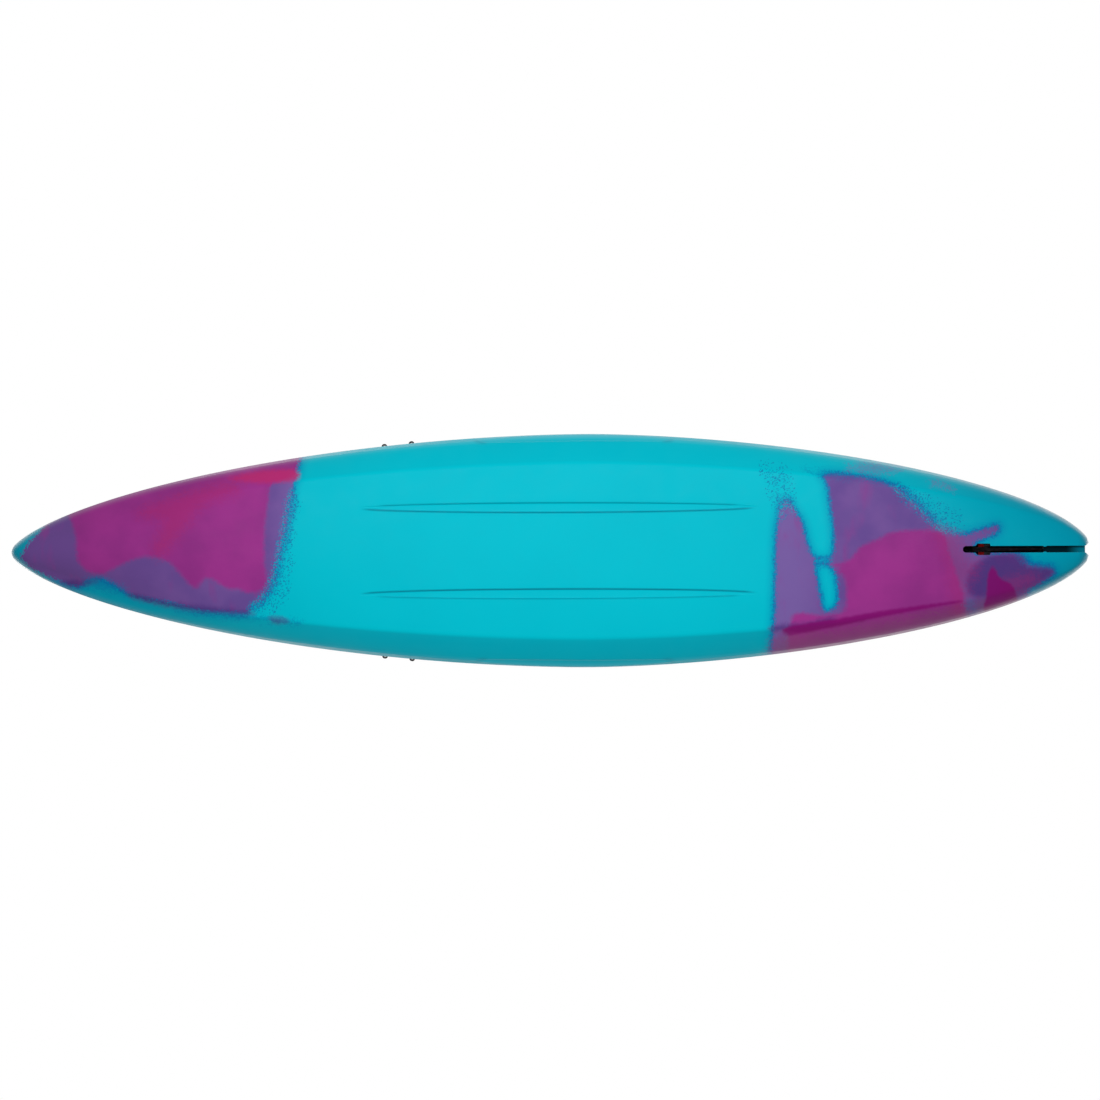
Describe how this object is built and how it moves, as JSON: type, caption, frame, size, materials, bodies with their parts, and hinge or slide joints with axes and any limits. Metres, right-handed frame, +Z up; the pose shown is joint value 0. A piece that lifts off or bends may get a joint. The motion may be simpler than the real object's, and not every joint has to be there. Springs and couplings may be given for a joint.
{
  "type": "stand up paddleboard",
  "caption": "Long moulded touring paddleboard with a pointed bow, flat bottom with shallow channels, swing-down skeg, deck pads and folding end handles.",
  "frame": {"origin": "centre of the bounding box at the height of the flat bottom", "axes": "+X to the bow, +Y to port, +Z up to the deck"},
  "size_m": [3.81, 0.8242, 0.2383],
  "materials": {
    "moulded_hull": "satin",
    "foam_core": "matte",
    "deck_pad": "matte",
    "red_nylon": "satin",
    "cord": "matte",
    "stainless": "satin",
    "soft_rubber": "matte",
    "black_nylon": "satin"
  },
  "bodies": {
    "hull": {"bow_handle_brackets": "black_nylon", "bow_handle_pins": "stainless", "bow_handle_screws": "stainless", "carry_grip": "soft_rubber", "carry_grip_screws": "stainless", "cleat_screws": "stainless", "deck_pad_front": "deck_pad", "deck_pad_port": "deck_pad", "deck_pad_rear": "deck_pad", "deck_pad_starboard": "deck_pad", "drain_seal": "soft_rubber", "drain_seat": "black_nylon", "eye_port_front": "black_nylon", "eye_port_rear": "black_nylon", "eye_screws": "stainless", "eye_starboard_front": "black_nylon", "eye_starboard_rear": "black_nylon", "foam_core_front": "foam_core", "foam_core_rear": "foam_core", "hull_shell": "moulded_hull", "skeg_bush_port": "red_nylon", "skeg_bush_starboard": "red_nylon", "skeg_keeper_port": "black_nylon", "skeg_keeper_starboard": "black_nylon", "skeg_line": "cord", "skeg_line_cleat": "black_nylon", "skeg_line_drop": "cord", "skeg_line_fairlead": "black_nylon", "skeg_line_tail": "cord", "skeg_line_tube": "black_nylon", "skeg_pivot_pin": "stainless", "stern_handle_brackets": "black_nylon", "stern_handle_pins": "stainless", "stern_handle_screws": "stainless", "threaded_inserts": "stainless", "tie_eye_port_front": "black_nylon", "tie_eye_port_rear": "black_nylon", "tie_eye_starboard_front": "black_nylon", "tie_eye_starboard_rear": "black_nylon"},
    "skeg": {"skeg_blade": "black_nylon"},
    "knob": {"skeg_line_knob": "soft_rubber"},
    "plug": {"drain_plug": "black_nylon"},
    "bow_handle": {"bow_handle_arms": "black_nylon", "bow_handle_bar": "black_nylon", "bow_handle_grip": "soft_rubber"},
    "stern_handle": {"stern_handle_arms": "black_nylon", "stern_handle_bar": "black_nylon", "stern_handle_grip": "soft_rubber"}
  },
  "joints": [
    {"name": "skeg_swing", "type": "hinge", "parent": "hull", "child": "skeg", "pos_m": [-1.525, 0, 0.062], "axis": [0, -1, 0], "range_deg": [0, 65], "deforming": ["skeg_line_drop"]},
    {"name": "knob_slide", "type": "slide", "parent": "hull", "child": "knob", "axis": [-0.9999, 0, 0.0128], "range_m": [0, 0.141], "deforming": ["skeg_line_tail"]},
    {"name": "drain_plug_turn", "type": "hinge", "parent": "hull", "child": "plug", "pos_m": [1.42, 0, 0.19816], "axis": [-0.0762, 0, 0.9971], "range_deg": [0, 720]},
    {"name": "bow_handle_swing", "type": "hinge", "parent": "hull", "child": "bow_handle", "pos_m": [1.7043, 0, 0.23028], "axis": [0, 1, 0], "range_deg": [0, 110]},
    {"name": "stern_handle_swing", "type": "hinge", "parent": "hull", "child": "stern_handle", "pos_m": [-1.79981, 0, 0.18203], "axis": [0, -1, 0], "range_deg": [0, 110]}
  ],
  "couplings": [
    {"joint": "knob_slide", "follows": "skeg_swing", "m_per_rad": 0.12429}
  ]
}
